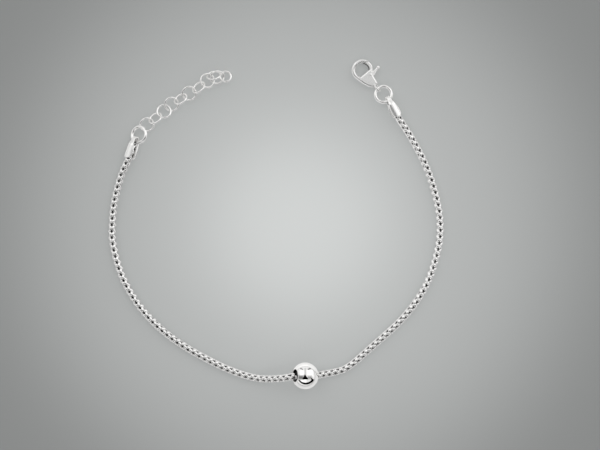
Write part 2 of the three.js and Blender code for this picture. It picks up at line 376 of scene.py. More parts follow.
def new_piece(
    name: str, points: Points, faces: Iterable[Sequence[int]], material: bpy.types.Material
) -> bpy.types.Object:
    """Makes a smooth-shaded mesh object at the origin.

    Args:
        name: The piece's name.
        points: Its vertices, in metres.
        faces: Vertex numbers of each face.
        material: Its finish.

    Returns:
        The object, linked to the scene.
    """
    mesh = bpy.data.meshes.new(name)
    mesh.from_pydata([tuple(point) for point in points], [], [tuple(face) for face in faces])
    mesh.validate()
    mesh.shade_smooth()
    mesh.materials.append(material)
    return add_object(name, mesh)


def closed_piece(
    name: str, points: Points, faces: Iterable[Sequence[int]], material: bpy.types.Material
) -> bpy.types.Object:
    """Makes a closed mesh object whose faces look outwards.

    Args:
        name: The piece's name.
        points: Its vertices, in metres.
        faces: Vertex numbers of each face, all turned the same way.
        material: Its finish.

    Returns:
        The object, linked to the scene.
    """
    made = new_piece(name, points, faces, material)
    corners = triangle_corners(made)
    if np.einsum("ij,ij->i", corners[:, 0], np.cross(corners[:, 1], corners[:, 2])).sum() < 0:
        made.data.flip_normals()
    return made


def plain_mesh(carrier: bpy.types.Object, name: str) -> bpy.types.Object:
    """Turns what a modifier makes into a plain mesh object, and removes the carrier.

    Args:
        carrier: The object with the modifier.
        name: The new piece's name.

    Returns:
        The piece, linked to the scene, with no modifier.
    """
    graph = bpy.context.evaluated_depsgraph_get()
    graph.update()
    mesh = bpy.data.meshes.new_from_object(carrier.evaluated_get(graph), depsgraph=graph)
    mesh.name = name
    carrier.modifiers.clear()
    bpy.data.objects.remove(carrier)
    return add_object(name, mesh)


def settle(piece: bpy.types.Object, body: str, slot: Slot, node: str) -> None:
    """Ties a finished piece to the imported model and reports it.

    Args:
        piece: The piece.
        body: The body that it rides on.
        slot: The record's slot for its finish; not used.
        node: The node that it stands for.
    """
    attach(piece, body)
    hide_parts(node)
    log.info("%s: %d faces on %s", piece.name, len(piece.data.polygons), body)


@dataclass(frozen=True)
class NodeShape:
    """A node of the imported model, measured: its middle, and its directions from longest to thinnest."""

    centre: Points
    longest: Points
    middle: Points
    thinnest: Points

    @classmethod
    def of(cls, node: bpy.types.Object) -> "NodeShape":
        """Measures a node, weighted by surface area."""
        return cls.measured(triangle_corners(node))

    @classmethod
    def measured(cls, corners: Points) -> "NodeShape":
        """Measures a set of triangles, given by their corners."""
        edges = np.cross(corners[:, 1] - corners[:, 0], corners[:, 2] - corners[:, 0])
        area = np.linalg.norm(edges, axis=1)
        centre = (corners.mean(axis=1) * area[:, None]).sum(axis=0) / area.sum()
        spokes = corners.reshape(-1, 3) - centre
        spread = (spokes * np.repeat(area, 3)[:, None]).T @ spokes
        axes = np.linalg.eigh(spread)[1].T
        return cls(centre, axes[2], axes[1], axes[0])


def triangle_corners(node: bpy.types.Object) -> Points:
    """Corners of a node's triangles, as an array of triangles by corner by coordinate."""
    mesh = node.data
    mesh.calc_loop_triangles()
    return np.array([[mesh.vertices[i].co for i in t.vertices] for t in mesh.loop_triangles], float)


def pointing(axis: Points, towards: Points) -> Points:
    """The axis or its opposite, whichever points more nearly the way asked for."""
    return axis if float(np.dot(axis, towards)) >= 0 else -axis


@dataclass(frozen=True)
class Place:
    """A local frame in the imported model, in metres, with columns for its X, Y and Z directions."""

    origin: Points
    axes: Points

    def put(self, local: Points) -> Points:
        """Takes points from the local frame, in millimetres, to the model's frame, in metres."""
        return self.origin + (local * MM) @ self.axes.T


# ---------------------------------------------------------------------------- cast shapes


def polygon_field(x: Points, y: Points, corners: Sequence[Spot]) -> Points:
    """Signed distance to a polygon.

    Args:
        x: First coordinates.
        y: Second coordinates.
        corners: The polygon's corners in order.

    Returns:
        The distance, below 0 inside.
    """
    x, y = np.broadcast_arrays(x, y)
    ends = list(zip(corners, [*corners[1:], corners[0]]))
    inside = np.zeros(x.shape, bool)
    for (ax, ay), (bx, by) in ends:
        with np.errstate(divide="ignore", invalid="ignore"):
            left = x < ax + (y - ay) * (bx - ax) / ((by - ay) or np.inf)
        inside ^= ((ay > y) != (by > y)) & left
    distance = stretches_field(x, y, ends)
    return np.where(inside, -distance, distance)


def stretches_field(x: Points, y: Points, ends: Iterable[tuple[Spot, Spot]]) -> Points:
    """Distance in the plane to the nearest of some straight stretches.

    Args:
        x: First coordinates.
        y: Second coordinates.
        ends: The two ends of each stretch.

    Returns:
        The distance.
    """
    x, y = np.broadcast_arrays(x, y)
    best = np.full(x.shape, np.inf)
    for (ax, ay), (bx, by) in ends:
        ex, ey = bx - ax, by - ay
        wx, wy = x - ax, y - ay
        share = np.clip((wx * ex + wy * ey) / (ex * ex + ey * ey), 0, 1)
        best = np.minimum(best, (wx - share * ex) ** 2 + (wy - share * ey) ** 2)
    return np.sqrt(best)


def both(first: Points, second: Points, radius: float) -> Points:
    """Where two solids overlap, with the new edge rounded."""
    a, b = first + radius, second + radius
    return np.minimum(np.maximum(a, b), 0) + np.hypot(np.maximum(a, 0), np.maximum(b, 0)) - radius


def either(first: Points, second: Points, radius: float) -> Points:
    """Two solids joined, with a fillet of about the given radius between them."""
    share = np.clip(0.5 + 0.5 * (second - first) / radius, 0, 1)
    return second + (first - second) * share - radius * share * (1 - share)


def without(solid: Points, cut: Points, radius: float) -> Points:
    """A solid with another cut out of it, with the cut's edge rounded."""
    return both(solid, -cut, radius)


def arc(
    x: float, y: float, radius: float, start: float, end: float, steps: int = 24
) -> list[Spot]:
    """Points along an arc, its angles in degrees."""
    angles = np.radians(np.linspace(start, end, steps + 1))
    return [(x + radius * math.cos(a), y + radius * math.sin(a)) for a in angles]


def bezier(*controls: Spot, steps: int = 12) -> list[Spot]:
    """Points along a Bezier curve of any order, without its first point."""
    level = [np.array(controls, float)] * steps
    made = []
    for step, points in enumerate(level, 1):
        t = step / steps
        while len(points) > 1:
            points = points[:-1] * (1 - t) + points[1:] * t
        made.append((float(points[0][0]), float(points[0][1])))
    return made


@dataclass(frozen=True)
class Casting:
    """A solid given by its signed distance, turned into an even mesh of quads."""

    shape: Field
    low: Triple
    high: Triple
    step: float
    rounds: int = 4
    reach: float = 0.2

    def mesh(self) -> tuple[Points, Points]:
        """Builds the surface.

        Returns:
            Vertices in millimetres and quads that face outwards.
        """
        ranges = [np.arange(a - self.step, b + 2 * self.step, self.step) for a, b in zip(self.low, self.high)]
        grids = np.meshgrid(*ranges, indexing="ij", sparse=True)
        values = np.broadcast_to(self.shape(*grids), [len(r) for r in ranges])
        points, quads = self.net(values)
        points = points * self.step + np.array([r[0] for r in ranges])
        for _ in range(self.rounds):
            points = points - self.miss(points)
        return points, quads

    def miss(self, points: Points) -> Points:
        """How far each point is off the surface, as a step along the field's slope."""
        reach = self.step * self.reach
        here = self.shape(*points.T)
        slope = np.stack(
            [
                self.shape(*(points + offset).T) - self.shape(*(points - offset).T)
                for offset in np.eye(3) * reach
            ],
            axis=1,
        ) / (2 * reach)
        steep = np.maximum((slope**2).sum(axis=1), 0.2)
        return np.clip(here / steep, -self.step, self.step)[:, None] * slope

    @staticmethod
    def net(values: Points) -> tuple[Points, Points]:
        """Draws a net over the surface where the values change sign.

        Args:
            values: Signed distances on a grid.

        Returns:
            Vertices in grid steps, one in each cell that the surface crosses, and the quads between them.
        """
        inside = values < 0
        shape = tuple(n - 1 for n in values.shape)
        total = np.zeros((*shape, 3))
        count = np.zeros(shape)
        crossings = []
        for axis in range(3):
            lower = tuple(slice(None, -1) if a == axis else slice(None) for a in range(3))
            upper = tuple(slice(1, None) if a == axis else slice(None) for a in range(3))
            at = np.argwhere(inside[lower] != inside[upper])
            below, above = values[lower][tuple(at.T)], values[upper][tuple(at.T)]
            where = at.astype(float)
            where[:, axis] += below / (below - above)
            crossings.append((axis, at, inside[lower][tuple(at.T)]))
            u, v = [a for a in range(3) if a != axis]
            for du in (0, 1):
                for dv in (0, 1):
                    cell = at.copy()
                    cell[:, u] -= du
                    cell[:, v] -= dv
                    kept = (cell >= 0).all(axis=1) & (cell < shape).all(axis=1)
                    np.add.at(total, tuple(cell[kept].T), where[kept])
                    np.add.at(count, tuple(cell[kept].T), 1)
        used = count > 0
        number = np.full(shape, -1)
        number[used] = np.arange(used.sum())
        quads = []
        for axis, at, starts_inside in crossings:
            u, v = [(axis + 1) % 3, (axis + 2) % 3]
            ring = []
            for du, dv in ((1, 1), (0, 1), (0, 0), (1, 0)):
                cell = at.copy()
                cell[:, u] -= du
                cell[:, v] -= dv
                ring.append(number[tuple(cell.T)])
            quad = np.stack(ring, axis=1)
            quad[~starts_inside] = quad[~starts_inside][:, ::-1]
            quads.append(quad)
        return total[used] / count[used][:, None], np.concatenate(quads)


# ---------------------------------------------------------------------------- geometry trees


def new_group(
    name: str, carried: str, sizes: Mapping[str, Any], made: str
) -> tuple[bpy.types.NodeTree, Sheet, bpy.types.Node]:
    """Starts a geometry tree with one named input for each size.

    Args:
        name: The tree's name.
        carried: The name of the geometry that it starts from.
        sizes: A value for each input, which gives the input's kind.
        made: The name of the geometry that it makes.

    Returns:
        The tree, its builder and its input node.
    """
    kinds = {float: "Float", int: "Int", tuple: "Vector"}
    tree = bpy.data.node_groups.new(name, "GeometryNodeTree")
    inputs = [(label, "INPUT", kinds[type(size)]) for label, size in sizes.items()]
    for label, way, kind in ((carried, "INPUT", "Geometry"), *inputs, (made, "OUTPUT", "Geometry")):
        tree.interface.new_socket(name=label, in_out=way, socket_type=f"NodeSocket{kind}")
    sheet = Sheet(tree)
    return tree, sheet, sheet.node("NodeGroupInput")


def set_inputs(carrier: bpy.types.Object, tree: bpy.types.NodeTree, values: Mapping[str, Any]) -> None:
    """Puts a geometry tree on an object and fills in its inputs.

    Args:
        carrier: The object.
        tree: The tree.
        values: Each input's value by its name.
    """
    modifier = carrier.modifiers.new(tree.name, "NODES")
    modifier.node_group = tree
    sockets = {s.name: s.identifier for s in tree.interface.items_tree
               if s.item_type == "SOCKET" and s.in_out == "INPUT"}
    for name, value in values.items():
        modifier[sockets[name]] = value


# ---------------------------------------------------------------------------- chain


@dataclass
class Chain:
    """A round woven chain of saddle-shaped wire links, each one a quarter turn from the last."""

    spacing: float = 0.717
    long_radius: float = 0.46
    short_radius: float = 0.46
    saddle: float = 0.52
    wire: float = 0.55
    crown: float = 0.80
    segments: int = 16
    sides: int = 6
    # Distances from the chain's axis: nearer than the first, shade is painted on the wire, and it is near
    # black by the second.
    bright_from: float = 0.69
    dark_to: float = 0.61
    rolls: tuple[Spot, ...] = (
        (0, 20),
        (24, 5),
        (45, 20),
        (62, 38),
        (80, 42),
        (88, 38),
        (98, 42),
        (109, 40),
        (122, 0),
        (141, 13),
        (157, 45),
        (165, 45),
    )

    def route(self, node: bpy.types.Object, start: Points) -> Points:
        """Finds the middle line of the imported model's tube.

        Args:
            node: The tube's node.
            start: A point just past the end to start from.

        Returns:
            The middle of each of the tube's sections in order.
        """
        corners = triangle_corners(node)
        keys = np.round(corners.reshape(-1, 3) / 1e-6).astype(int)
        _, first, numbers = np.unique(keys, axis=0, return_index=True, return_inverse=True)
        points = corners.reshape(-1, 3)[first]
        near: list[set[int]] = [set() for _ in points]
        for triangle in numbers.reshape(-1, 3):
            for a in triangle:
                near[a].update(int(b) for b in triangle)
        sides = 8
        layer = {int(i) for i in np.argsort(np.linalg.norm(points - start, axis=1))[:sides]}
        seen: set[int] = set()
        middles = []
        while layer:
            middles.append(points[sorted(layer)].mean(axis=0))
            seen |= layer
            layer = {b for a in layer for b in near[a]} - seen
        return np.array(middles)

    @staticmethod
    def smooth(points: Points, parts: int = 12) -> Points:
        """Puts a smooth curve through points, each stretch divided into the given number of parts."""
        padded = np.vstack([2 * points[0] - points[1], points, 2 * points[-1] - points[-2]])
        made = []
        for a, b, c, d in zip(padded, padded[1:], padded[2:], padded[3:]):
            for part in range(parts):
                t = part / parts
                made.append(
                    0.5 * (2 * b + (c - a) * t + (2 * a - 5 * b + 4 * c - d) * t * t
                           + (3 * b - a - 3 * c + d) * t**3)
                )
        made.append(points[-1])
        return np.array(made)

    def carrier(self, line: Points) -> bpy.types.Object:
        """Makes the line that the links are strung on, with the roll of the weave along it."""
        mesh = bpy.data.meshes.new("chain_line")
        mesh.from_pydata([tuple(p) for p in line], [(i, i + 1) for i in range(len(line) - 1)], [])
        lengths = np.concatenate([[0], np.cumsum(np.linalg.norm(np.diff(line, axis=0), axis=1))]) / MM
        stations, rolls = zip(*self.rolls)
        store(mesh, "roll", np.radians(np.interp(lengths, stations, rolls)))
        return add_object("chain_line", mesh)

    def sizes(self) -> dict[str, float | int]:
        """The chain tree's inputs by name, with lengths in metres."""
        lengths = {
            "Spacing": self.spacing, "Long radius": self.long_radius, "Short radius": self.short_radius,
            "Saddle depth": self.saddle, "Wire": self.wire, "Crown": self.crown,
            "Bright from": self.bright_from, "Dark to": self.dark_to}
        counts = {"Segments": self.segments, "Sides": self.sides}
        return {name: length * MM for name, length in lengths.items()} | counts

    def link_shape(self, sheet: Sheet, sizes: bpy.types.Node) -> bpy.types.NodeSocket:
        """Adds the nodes of one link: a wire ring, long one way, and bent forward at its far ends, with
        painted shade marked on the wire near the chain's axis.

        Args:
            sheet: The tree's builder.
            sizes: The tree's input node.

        Returns:
            The link's mesh.
        """
        size = {name: Value(sheet, sizes.outputs[name]) for name in self.sizes()}
        circle = sheet.node("GeometryNodeCurvePrimitiveCircle", None,
                            {"Resolution": sizes.outputs["Segments"], "Radius": 1.0})
        turn = Value(sheet, sheet.node("GeometryNodeSplineParameter").outputs["Factor"]) * TAU
        double = (turn * 2).math("COSINE")
        middle = (size["Long radius"] + size["Short radius"]) * 0.5
        radius = middle + (size["Long radius"] - size["Short radius"]) * 0.5 * double
        place = sheet.node("ShaderNodeCombineXYZ", None, {
            0: radius * turn.math("COSINE"), 1: radius * turn.math("SINE"), 2: size["Saddle depth"] * double})
        bent = sheet.node("GeometryNodeSetPosition", None,
                          {"Geometry": circle.outputs["Curve"], "Position": place.outputs[0]})
        upright = sheet.node("GeometryNodeSetCurveNormal", {"mode": "Z_UP"},
                             {"Curve": bent.outputs["Geometry"]})
        round_wire = sheet.node("GeometryNodeCurvePrimitiveCircle", None,
                                {"Resolution": sizes.outputs["Sides"], "Radius": 0.5})
        thickness = (size["Crown"] + size["Wire"]) * 0.5 + (size["Crown"] - size["Wire"]) * 0.5 * double
        swept = sheet.node("GeometryNodeCurveToMesh", None, {
            "Curve": upright.outputs["Curve"], "Profile Curve": round_wire.outputs["Curve"],
            "Scale": thickness})
        # Painted shade between the links: wire nearer the chain's axis is marked darker.
        spot = sheet.node("ShaderNodeSeparateXYZ", None,
                          {0: sheet.node("GeometryNodeInputPosition").outputs[0]})
        across = [Value(sheet, spot.outputs[n]) for n in (0, 1)]
        from_axis = (across[0] * across[0] + across[1] * across[1]).math("SQRT")
        painted_shade = (size["Bright from"] - from_axis) / (size["Bright from"] - size["Dark to"])
        stored = sheet.node("GeometryNodeStoreNamedAttribute", {"data_type": "FLOAT", "domain": "POINT"}, {
            "Geometry": swept.outputs["Mesh"], "Name": PAINTED_SHADE, "Value": painted_shade.most(0).least(1)})
        return stored.outputs["Geometry"]

    def weave(self, material: bpy.types.Material) -> bpy.types.NodeTree:
        """Builds the tree that strings the links on a line.

        Args:
            material: The links' finish.

        Returns:
            The tree, with named inputs for its sizes.
        """
        tree, sheet, sizes = new_group("woven_chain", "Line", self.sizes(), "Chain")
        line = sheet.node("GeometryNodeMeshToCurve", None, {"Mesh": sizes.outputs["Line"]})
        strung = sheet.node("GeometryNodeResampleCurve", {"mode": "LENGTH"}, {
            "Curve": line.outputs["Curve"], "Length": sizes.outputs["Spacing"]})
        facing = sheet.node("FunctionNodeAxesToRotation", {"primary_axis": "Z", "secondary_axis": "X"}, {
            "Primary Axis": sheet.node("GeometryNodeInputTangent").outputs[0], "Secondary Axis": (0, 0, 1)})
        roll = sheet.node("GeometryNodeInputNamedAttribute", {"data_type": "FLOAT"}, {"Name": "roll"})
        odd = Value(sheet, sheet.node("GeometryNodeInputIndex").outputs[0]).math("MODULO", 2)
        angle = Value(sheet, roll.outputs["Attribute"]) + odd * (TAU / 4)
        spin = sheet.node("FunctionNodeAxisAngleToRotation", None, {"Axis": (0, 0, 1), "Angle": angle})
        turned = sheet.node("FunctionNodeRotateRotation", {"rotation_space": "LOCAL"}, {
            "Rotation": facing.outputs[0], "Rotate By": spin.outputs[0]})
        placed = sheet.node("GeometryNodeInstanceOnPoints", None, {
            "Points": strung.outputs["Curve"], "Instance": self.link_shape(sheet, sizes),
            "Rotation": turned.outputs[0]})
        sheet.dress(placed.outputs["Instances"], material)
        return tree

    def build(self, nodes: Mapping[str, bpy.types.Object], material: bpy.types.Material) -> None:
        """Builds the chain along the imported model's tube."""
        start = NodeShape.of(nodes["jump_ring_left"]).centre
        line = self.smooth(self.route(nodes["chain"], start))
        carrier = self.carrier(line)
        set_inputs(carrier, self.weave(material), self.sizes())
        settle(plain_mesh(carrier, "woven_chain"), ROOT_BODY, Slot.CHAIN, "chain")


# ---------------------------------------------------------------------------- rings


@dataclass
class RingKind:
    """One size of round wire ring, cut and closed, with its fine seam."""

    pitch_radius: float
    wire: float
    segments: int
    sides: int
    seam: float = 0.02

    def sizes(self, node: bpy.types.Object, seam_angle: float) -> dict[str, Any]:
        """The ring tree's inputs by name, for the ring that stands for one node.

        Args:
            node: The node's object.
            seam_angle: Where the seam is, in degrees from the ring's own X.

        Returns:
            The ring's sizes and place, in metres.
        """
        shape = NodeShape.of(node)
        axis = pointing(shape.thinnest, UP)
        return {
            "Pitch radius": self.pitch_radius * MM, "Wire": self.wire * MM, "Seam": self.seam * MM,
            "Seam angle": math.radians(seam_angle), "Segments": self.segments, "Sides": self.sides,
            "Centre": tuple(float(c) for c in shape.centre), "Axis": tuple(float(c) for c in axis)}


def ring_tree(values: Mapping[str, Any], material: bpy.types.Material) -> bpy.types.NodeTree:
    """Builds the tree of one ring.

    Args:
        values: Any ring's inputs.
        material: The ring's finish.

    Returns:
        The tree, with inputs for its sizes and its place.
    """
    tree, sheet, sizes = new_group("wire_ring", "Carrier", values, "Ring")
    radius = Value(sheet, sizes.outputs["Pitch radius"])
    seam = Value(sheet, sizes.outputs["Seam"]) / radius
    start = Value(sheet, sizes.outputs["Seam angle"]) + seam * 0.5
    bow = sheet.node("GeometryNodeCurveArc", {"mode": "RADIUS"}, {
        "Resolution": sizes.outputs["Segments"], "Radius": radius, "Start Angle": start,
        "Sweep Angle": TAU - seam})
    profile = sheet.node("GeometryNodeCurvePrimitiveCircle", None, {
        "Resolution": sizes.outputs["Sides"], "Radius": Value(sheet, sizes.outputs["Wire"]) * 0.5})
    swept = sheet.node("GeometryNodeCurveToMesh", None, {
        "Curve": bow.outputs["Curve"], "Profile Curve": profile.outputs["Curve"], "Fill Caps": True})
    facing = sheet.node("FunctionNodeAxesToRotation", {"primary_axis": "Z", "secondary_axis": "X"}, {
        "Primary Axis": sizes.outputs["Axis"], "Secondary Axis": (1, 0, 0)})
    moved = sheet.node("GeometryNodeTransform", None, {
        "Geometry": swept.outputs["Mesh"], "Translation": sizes.outputs["Centre"],
        "Rotation": facing.outputs[0]})
    sheet.dress(moved.outputs["Geometry"], material)
    return tree


@dataclass
class Rings:
    """The two jump rings and the extender's eleven rings."""

    jump: RingKind = field(default_factory=lambda: RingKind(1.8, 0.66, 96, 20))
    extender: RingKind = field(default_factory=lambda: RingKind(1.53, 0.38, 80, 14))
    end: RingKind = field(default_factory=lambda: RingKind(1.2, 0.38, 72, 14))
    last: str = "extender_ring_11"
    seam_step: float = 137.5

    def build(self, nodes: Mapping[str, bpy.types.Object], material: bpy.types.Material) -> None:
        """Builds every ring in the place of its node."""
        tree = None
        for number, name in enumerate(sorted(name for name in nodes if "_ring_" in name)):
            kind = self.jump if name.startswith("jump") else self.end if name == self.last else self.extender
            node = nodes[name]
            sizes = kind.sizes(node, (number * self.seam_step) % 360)
            tree = tree or ring_tree(sizes, material)
            carrier = add_object("ring_carrier", bpy.data.meshes.new("ring_carrier"))
            set_inputs(carrier, tree, sizes)
            settle(plain_mesh(carrier, f"{node.name}_wire"), ROOT_BODY, Slot.POLISHED, node.name)


# ---------------------------------------------------------------------------- ball


@dataclass
class Ball:
    """A hollow polished ball with a wide bore and softly rolled lips."""

    radius: float = 3.0
    hole_radius: float = 1.375
    wall: float = 0.4
    lip: float = 0.09
    around: int = 144
    outer_steps: int = 60
    lip_steps: int = 8

    def profile(self) -> list[Spot]:
        """The wall's section, as distance from the bore's axis and height along it."""
        outer_edge = math.asin((self.hole_radius + self.lip) / self.radius)
        inner = self.radius - self.wall
        inner_edge = math.asin((self.hole_radius + self.lip) / inner)
        section = []
        for angle in np.linspace(math.pi - outer_edge, outer_edge, self.outer_steps + 1):
            section.append((self.radius * math.sin(angle), self.radius * math.cos(angle)))
        section += self.rolled(outer_edge, inner_edge, 1)
        for angle in np.linspace(inner_edge, math.pi - inner_edge, self.outer_steps // 2 + 1):
            section.append((inner * math.sin(angle), inner * math.cos(angle)))
        section += self.rolled(inner_edge, outer_edge, -1, from_inside=True)
        return section

    def rolled(
        self, first: float, second: float, side: int, from_inside: bool = False
    ) -> list[Spot]:
        """Points round a lip, between the outer and the inner wall.

        Args:
            first: Polar angle where the lip leaves the wall that it comes from.
            second: Polar angle where it meets the other wall.
            side: 1 for the hole at the top, -1 for the one at the bottom.
            from_inside: True if it comes from the inner wall.

        Returns:
            The points, without the two ends.
        """
        inner = self.radius - self.wall
        radii = (inner, self.radius) if from_inside else (self.radius, inner)
        ends = [(r * math.sin(a), side * r * math.cos(a)) for r, a in zip(radii, (first, second))]
        made = []
        for share in np.linspace(0, 1, self.lip_steps + 1)[1:-1]:
            x = ends[0][0] + (ends[1][0] - ends[0][0]) * share
            y = ends[0][1] + (ends[1][1] - ends[0][1]) * share
            made.append((x - self.lip * math.sin(math.pi * share) ** 0.6, y))
        return made

    def build(
        self,
        nodes: Mapping[str, bpy.types.Object],
        polished: bpy.types.Material,
        inside: bpy.types.Material,
    ) -> None:
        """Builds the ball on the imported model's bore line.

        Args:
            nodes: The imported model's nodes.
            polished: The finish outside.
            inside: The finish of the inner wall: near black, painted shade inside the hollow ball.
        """
        shape = NodeShape.of(nodes["ball"])
        axis = shape.thinnest
        side = np.cross(axis, UP)
        side /= np.linalg.norm(side)
        axes = np.stack([side, np.cross(axis, side), axis], axis=1)
        section = self.profile()
        turns = np.linspace(0, TAU, self.around, endpoint=False)
        local = np.array([[r * math.cos(t), r * math.sin(t), h] for t in turns for r, h in section])
        count = len(section)
        faces = []
        for turn in range(self.around):
            here, there = turn * count, (turn + 1) % self.around * count
            for step in range(count):
                after = (step + 1) % count
                faces.append((here + step, here + after, there + after, there + step))
        low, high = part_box("ball")
        centre = np.array((low + high) / 2)
        piece = closed_piece("polished_ball", Place(centre, axes).put(local), faces, polished)
        # The inner wall is painted near black, for the shade inside the hollow ball.
        piece.data.materials.append(inside)
        first_inside = self.outer_steps + self.lip_steps // 2
        last_inside = first_inside + self.outer_steps // 2 + self.lip_steps
        for number, polygon in enumerate(piece.data.polygons):
            if first_inside <= number % count <= last_inside:
                polygon.material_index = 1
        settle(piece, ROOT_BODY, Slot.POLISHED, "ball")


# ---------------------------------------------------------------------------- end caps


@dataclass
class EndCap:
    """A folded strip: its fold holds the jump ring and its two rounded leaves hold the chain's end."""

    length: float = 5.25
    thickness: float = 0.28
    fold_radius: float = 0.8
    fold_half_width: float = 0.45
    neck_end: float = 0.9
    flare_start: Spot = (2.0, 0.62)
    flare_end: float = 3.0
    leaf_half_width: float = 1.1
    leaf_gap: float = 1.86
    blank_half_width: float = 1.2
    shoulder_end: float = 2.3
    edge_round: float = 0.09
    step: float = 0.055

    def middle_line(self) -> list[Spot]:
        """The strip's middle line seen from the side, along the cap and across it."""
        fold = self.fold_radius - self.thickness / 2
        leaf = self.leaf_gap / 2 + self.thickness / 2
        upper = []
        for share in np.linspace(0, 1, 13)[1:]:
            rise = 0.5 - 0.5 * math.cos(math.pi * share)
            upper.append((self.fold_radius + (self.shoulder_end - self.fold_radius) * share,
                          fold + (leaf - fold) * rise))
        upper.append((self.length - self.thickness / 2, leaf))
        lower = [(x, -z) for x, z in reversed(upper)]
        return [*lower, *arc(self.fold_radius, 0, fold, 270, 90, 20), *upper]

    def outline(self) -> list[Spot]:
        """The strip's outline seen from above: narrow at the fold, with a rounded end."""
        round_start = self.length - self.leaf_half_width
        flare_end = (self.flare_end, self.leaf_half_width)
        side = [(-1.0, self.fold_half_width), (self.neck_end, self.fold_half_width)]
        side += bezier(side[-1], self.flare_start, flare_end, (round_start, self.leaf_half_width))
        end = arc(round_start, 0, self.leaf_half_width, 90, -90, 24)[1:-1]
        return [*side, *end, *((x, -y) for x, y in reversed(side))]

    def place(self, nodes: Mapping[str, bpy.types.Object], side: str) -> Place:
        """Finds the cap's frame: the outside of its fold, and the way that its leaves point."""
        corners = triangle_corners(nodes[f"end_cap_{side}"])
        shape = NodeShape.measured(corners)
        ring = NodeShape.of(nodes[f"jump_ring_{side}"]).centre
        along = pointing(shape.longest, shape.centre - ring)
        up = pointing(shape.middle, UP)
        across = np.cross(up, along)
        reach = ((corners - shape.centre) @ along).min()
        return Place(shape.centre + along * reach, np.stack([along, across, up], axis=1))

    def uncurled(self, x: Points, y: Points, z: Points) -> tuple[Points, Points]:
        """Flattens the leaves, which curl round the chain.

        Args:
            x: How far along the cap.
            y: How far across it.
            z: How far above its middle.

        Returns:
            How far across the flat strip the spot lies, and its height there.
        """
        share = np.clip((x - self.fold_radius) / (self.shoulder_end - self.fold_radius), 0, 1)
        bend = 0.5 - 0.5 * np.cos(math.pi * share)
        fold, leaf = self.fold_radius - self.thickness / 2, (self.leaf_gap + self.thickness) / 2
        radius = leaf / np.maximum(bend, 1e-3)
        middle = fold + (leaf - fold) * bend
        rise = abs(z) - middle + radius
        return radius * np.arctan2(y, rise), np.sign(z) * (np.hypot(y, rise) - radius + middle)

    def build(
        self, nodes: Mapping[str, bpy.types.Object], side: str, material: bpy.types.Material
    ) -> None:
        """Builds one cap.

        Args:
            nodes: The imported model's nodes.
            side: left or right.
            material: Its finish.
        """
        line, outline = self.middle_line(), self.outline()

        def shape(x: Points, y: Points, z: Points) -> Points:
            across, height = self.uncurled(x, y, z)
            strip = stretches_field(x, height, list(zip(line, line[1:]))) - self.thickness / 2
            strip = both(strip, abs(across) - self.blank_half_width, self.edge_round)
            return both(strip, polygon_field(x, y, outline), self.edge_round)

        half_height = self.leaf_gap / 2 + self.thickness
        low = (0, -self.leaf_half_width, -half_height)
        high = (self.length, self.leaf_half_width, half_height)
        points, quads = Casting(shape, low, high, self.step).mesh()
        piece = closed_piece(f"folded_cap_{side}", self.place(nodes, side).put(points), quads, material)
        settle(piece, ROOT_BODY, Slot.POLISHED, f"end_cap_{side}")


# ---------------------------------------------------------------------------- clasp


